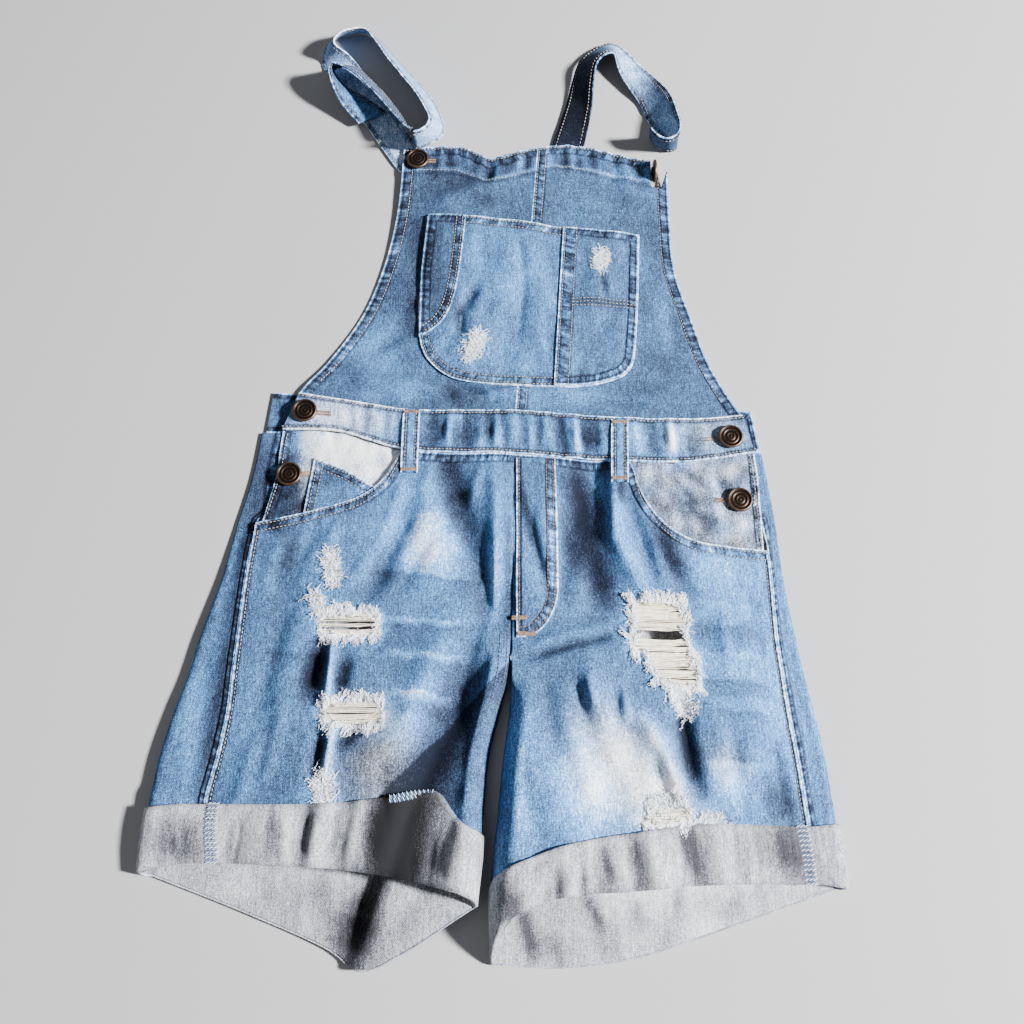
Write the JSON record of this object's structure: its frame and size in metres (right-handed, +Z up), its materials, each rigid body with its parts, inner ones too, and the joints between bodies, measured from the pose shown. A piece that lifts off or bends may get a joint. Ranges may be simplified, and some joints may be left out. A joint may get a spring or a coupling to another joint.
{
  "type": "denim shortalls",
  "caption": "Denim dungaree shorts with a bib, button-on straps, turned-up cuffs and distressed rips, laid flat with the front up.",
  "frame": {"origin": "centre of the footprint, on the surface that the garment lies on", "axes": "+Z up out of the surface, +Y from the hems to the straps, +X to the right as seen from above the front"},
  "size_m": [0.5443, 0.8913, 0.0398],
  "materials": {
    "denim": "washed blue denim",
    "pale_denim": "bleached denim",
    "denim_wrong_side": "unwashed inside of the denim",
    "strap_denim": "washed blue denim, doubled",
    "antique_bronze": "dark antique plating"
  },
  "bodies": {
    "root": {"back_left": "denim", "back_right": "denim", "belt_loop_left": "strap_denim", "belt_loop_right": "strap_denim", "bib_back": "denim", "bib_left": "denim", "bib_pocket": "denim", "bib_pocket_side": "denim", "bib_right": "denim", "button_bib_left": "antique_bronze", "button_bib_right": "antique_bronze", "button_hip_left": "antique_bronze", "button_hip_right": "antique_bronze", "button_waist_left": "antique_bronze", "button_waist_right": "antique_bronze", "coin_pocket": "denim", "cuff_left": "denim_wrong_side", "cuff_right": "denim_wrong_side", "fly": "denim", "front_left": "denim", "front_right": "denim", "hip_left": "pale_denim", "hip_right": "pale_denim", "pen_pocket": "denim", "strap_left": "strap_denim", "strap_left_tail": "strap_denim", "strap_right": "strap_denim", "waistband_back": "denim", "waistband_front": "denim"}
  },
  "joints": []
}
